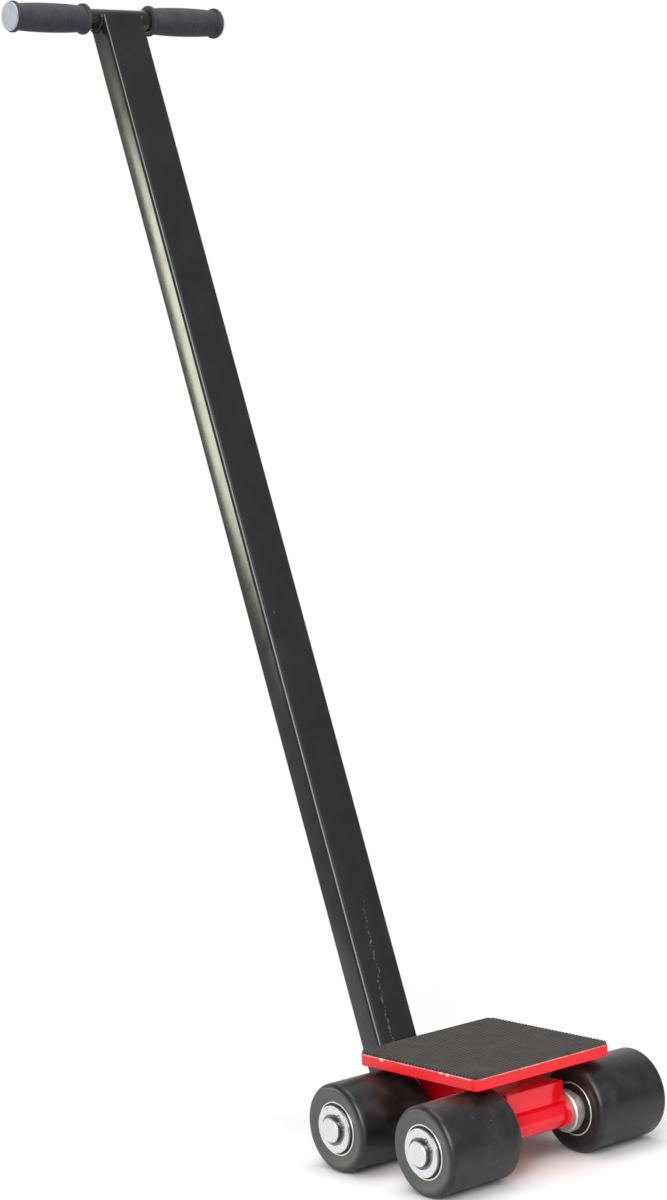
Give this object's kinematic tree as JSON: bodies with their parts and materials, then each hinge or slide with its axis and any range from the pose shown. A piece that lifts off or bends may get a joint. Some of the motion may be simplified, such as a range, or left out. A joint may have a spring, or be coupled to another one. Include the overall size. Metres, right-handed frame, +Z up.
{
  "type": "steerable machine skate",
  "caption": "Low steel machine skate on wide nylon rollers, with a swivelling square load plate, a rubber pad and a tilting drawbar that ends in a T-bar with grips.",
  "frame": {"origin": "centre of the pad's top face, where the load rests, on the swivel axis", "axes": "+Z up out of the pad, +Y towards the drawbar, +X along the axles"},
  "size_m": [0.284, 0.6124, 1.1554],
  "materials": {
    "red_paint": "gloss",
    "black_paint": "gloss",
    "zinc_steel": "satin",
    "spring_steel": "satin",
    "bearing_steel": "polished",
    "black_nylon": "satin",
    "cage_nylon": "satin",
    "seal_rubber": "matte",
    "pad_rubber": "matte",
    "grip_rubber": "matte",
    "cap_plastic": "satin"
  },
  "bodies": {
    "chassis": {"chassis_bar": "red_paint", "kingpin_block": "red_paint", "lower_thrust_race": "bearing_steel", "front_axle_tube": "red_paint", "rear_axle_tube": "red_paint", "front_axle": "zinc_steel", "rear_axle": "zinc_steel", "left_drawbar_lug": "red_paint", "right_drawbar_lug": "red_paint", "hinge_bolt": "zinc_steel", "hinge_nut": "zinc_steel", "hinge_washers": "zinc_steel", "axle_spacers": "zinc_steel", "distance_sleeves": "zinc_steel", "axle_washers": "zinc_steel", "axle_circlips": "spring_steel", "bearing_inner_rings": "bearing_steel"},
    "turntable": {"load_plate": "red_paint", "rubber_pad": "pad_rubber", "kingpin": "zinc_steel", "kingpin_washer": "zinc_steel", "kingpin_circlip": "spring_steel", "upper_thrust_race": "bearing_steel"},
    "thrust_ball_set": {"thrust_cage": "cage_nylon", "thrust_balls": "bearing_steel"},
    "drawbar": {"drawbar_tube": "black_paint", "hinge_sleeve": "black_paint", "t_bar": "black_paint", "left_grip": "grip_rubber", "right_grip": "grip_rubber", "left_end_cap": "cap_plastic", "right_end_cap": "cap_plastic"},
    "front_left_wheel": {"front_left_roller": "black_nylon", "front_left_outer_rings": "bearing_steel", "front_left_seals": "seal_rubber"},
    "front_left_ball_sets": {"front_left_bearing_cages": "cage_nylon", "front_left_bearing_balls": "bearing_steel"},
    "front_right_wheel": {"front_right_roller": "black_nylon", "front_right_outer_rings": "bearing_steel", "front_right_seals": "seal_rubber"},
    "front_right_ball_sets": {"front_right_bearing_cages": "cage_nylon", "front_right_bearing_balls": "bearing_steel"},
    "rear_left_wheel": {"rear_left_roller": "black_nylon", "rear_left_outer_rings": "bearing_steel", "rear_left_seals": "seal_rubber"},
    "rear_left_ball_sets": {"rear_left_bearing_cages": "cage_nylon", "rear_left_bearing_balls": "bearing_steel"},
    "rear_right_wheel": {"rear_right_roller": "black_nylon", "rear_right_outer_rings": "bearing_steel", "rear_right_seals": "seal_rubber"},
    "rear_right_ball_sets": {"rear_right_bearing_cages": "cage_nylon", "rear_right_bearing_balls": "bearing_steel"}
  },
  "joints": [
    {"name": "turntable_swivel", "type": "hinge", "parent": "chassis", "child": "turntable", "pos_m": [0, 0, 0], "axis": [0, 0, 1], "continuous": true},
    {"name": "thrust_ball_orbit", "type": "hinge", "parent": "chassis", "child": "thrust_ball_set", "pos_m": [0, 0, -0.02], "axis": [0, 0, 1], "continuous": true},
    {"name": "drawbar_tilt", "type": "hinge", "parent": "chassis", "child": "drawbar", "pos_m": [0, 0.12639, -0.0615], "axis": [-1, 0, 0], "range_deg": [-9, 72]},
    {"name": "front_left_spin", "type": "hinge", "parent": "chassis", "child": "front_left_wheel", "pos_m": [-0.0926, 0.0635, -0.0615], "axis": [1, 0, 0], "continuous": true},
    {"name": "front_left_ball_orbit", "type": "hinge", "parent": "chassis", "child": "front_left_ball_sets", "pos_m": [-0.0926, 0.0635, -0.0615], "axis": [1, 0, 0], "continuous": true},
    {"name": "front_right_spin", "type": "hinge", "parent": "chassis", "child": "front_right_wheel", "pos_m": [0.0926, 0.0635, -0.0615], "axis": [1, 0, 0], "continuous": true},
    {"name": "front_right_ball_orbit", "type": "hinge", "parent": "chassis", "child": "front_right_ball_sets", "pos_m": [0.0926, 0.0635, -0.0615], "axis": [1, 0, 0], "continuous": true},
    {"name": "rear_left_spin", "type": "hinge", "parent": "chassis", "child": "rear_left_wheel", "pos_m": [-0.0926, -0.0635, -0.0615], "axis": [1, 0, 0], "continuous": true},
    {"name": "rear_left_ball_orbit", "type": "hinge", "parent": "chassis", "child": "rear_left_ball_sets", "pos_m": [-0.0926, -0.0635, -0.0615], "axis": [1, 0, 0], "continuous": true},
    {"name": "rear_right_spin", "type": "hinge", "parent": "chassis", "child": "rear_right_wheel", "pos_m": [0.0926, -0.0635, -0.0615], "axis": [1, 0, 0], "continuous": true},
    {"name": "rear_right_ball_orbit", "type": "hinge", "parent": "chassis", "child": "rear_right_ball_sets", "pos_m": [0.0926, -0.0635, -0.0615], "axis": [1, 0, 0], "continuous": true}
  ],
  "couplings": [
    {"joint": "thrust_ball_orbit", "follows": "turntable_swivel", "ratio": 0.5},
    {"joint": "front_left_ball_orbit", "follows": "front_left_spin", "ratio": 0.6031},
    {"joint": "front_right_ball_orbit", "follows": "front_right_spin", "ratio": 0.6031},
    {"joint": "rear_left_ball_orbit", "follows": "rear_left_spin", "ratio": 0.6031},
    {"joint": "rear_right_ball_orbit", "follows": "rear_right_spin", "ratio": 0.6031}
  ]
}
